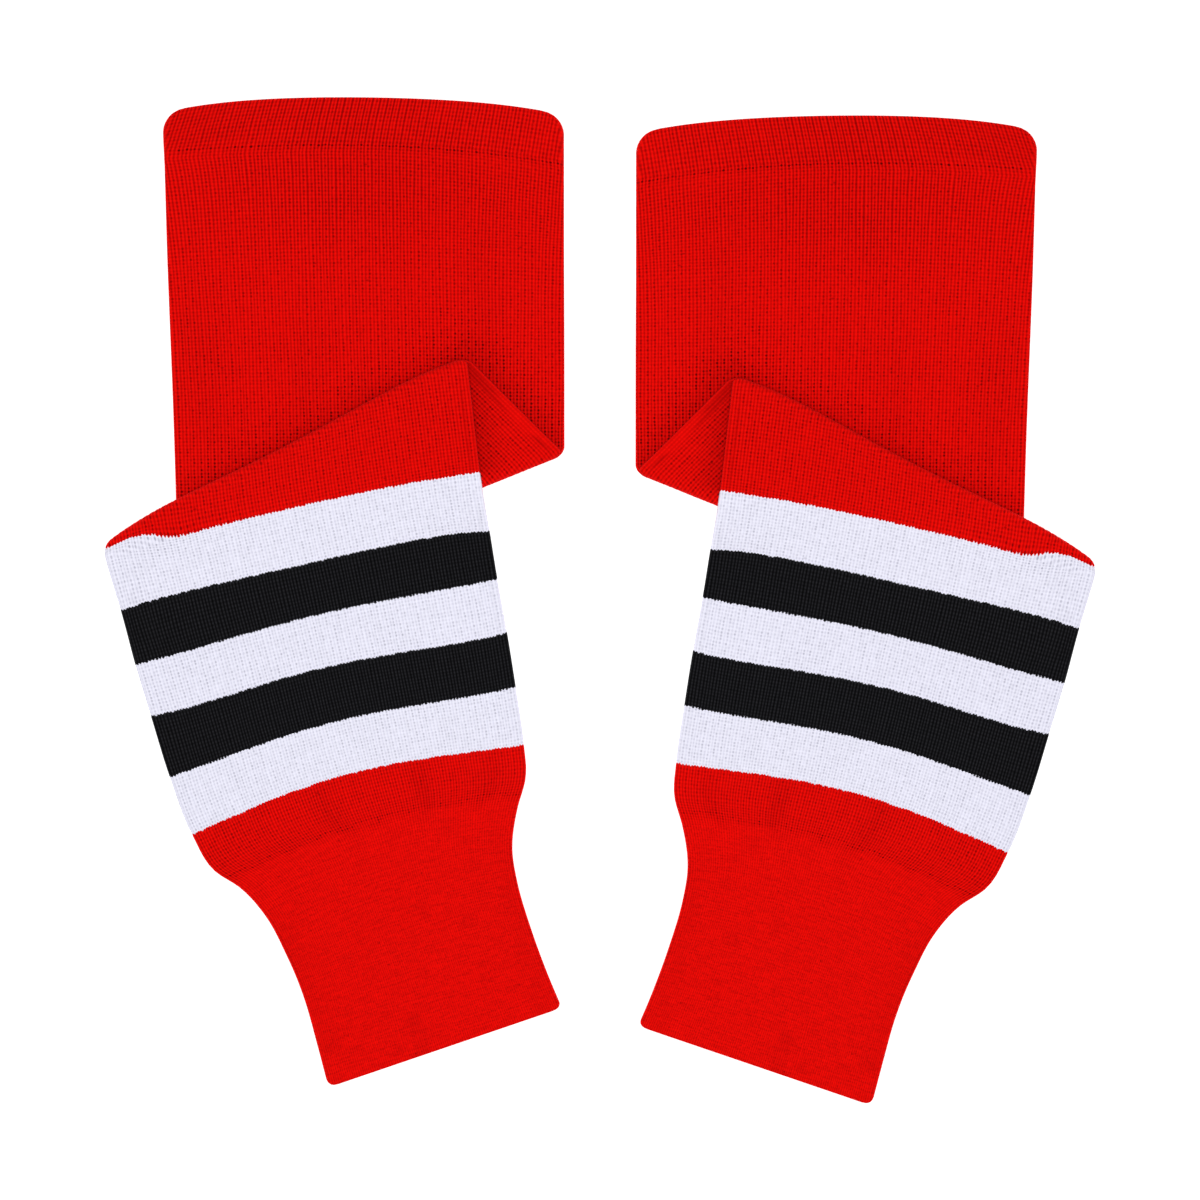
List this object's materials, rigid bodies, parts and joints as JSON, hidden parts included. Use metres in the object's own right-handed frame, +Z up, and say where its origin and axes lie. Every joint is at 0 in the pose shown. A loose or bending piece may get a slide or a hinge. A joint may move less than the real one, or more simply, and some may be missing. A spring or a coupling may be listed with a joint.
{
  "type": "pair of hockey socks",
  "caption": "Pair of long footless knit hockey socks in red with white and black calf stripes, laid flat and folded over twice.",
  "frame": {"origin": "on the floor, below the middle of the pair's outline", "axes": "+X from the left sock to the right sock, +Y towards the wide mouths, +Z up from the floor"},
  "size_m": [0.614, 0.6244, 0.0126],
  "materials": {
    "red_knit": "matte rib knit polyester, red, with white and black stripes knitted in"
  },
  "bodies": {
    "root": {"left_sock": "red_knit", "right_sock": "red_knit"}
  },
  "joints": []
}
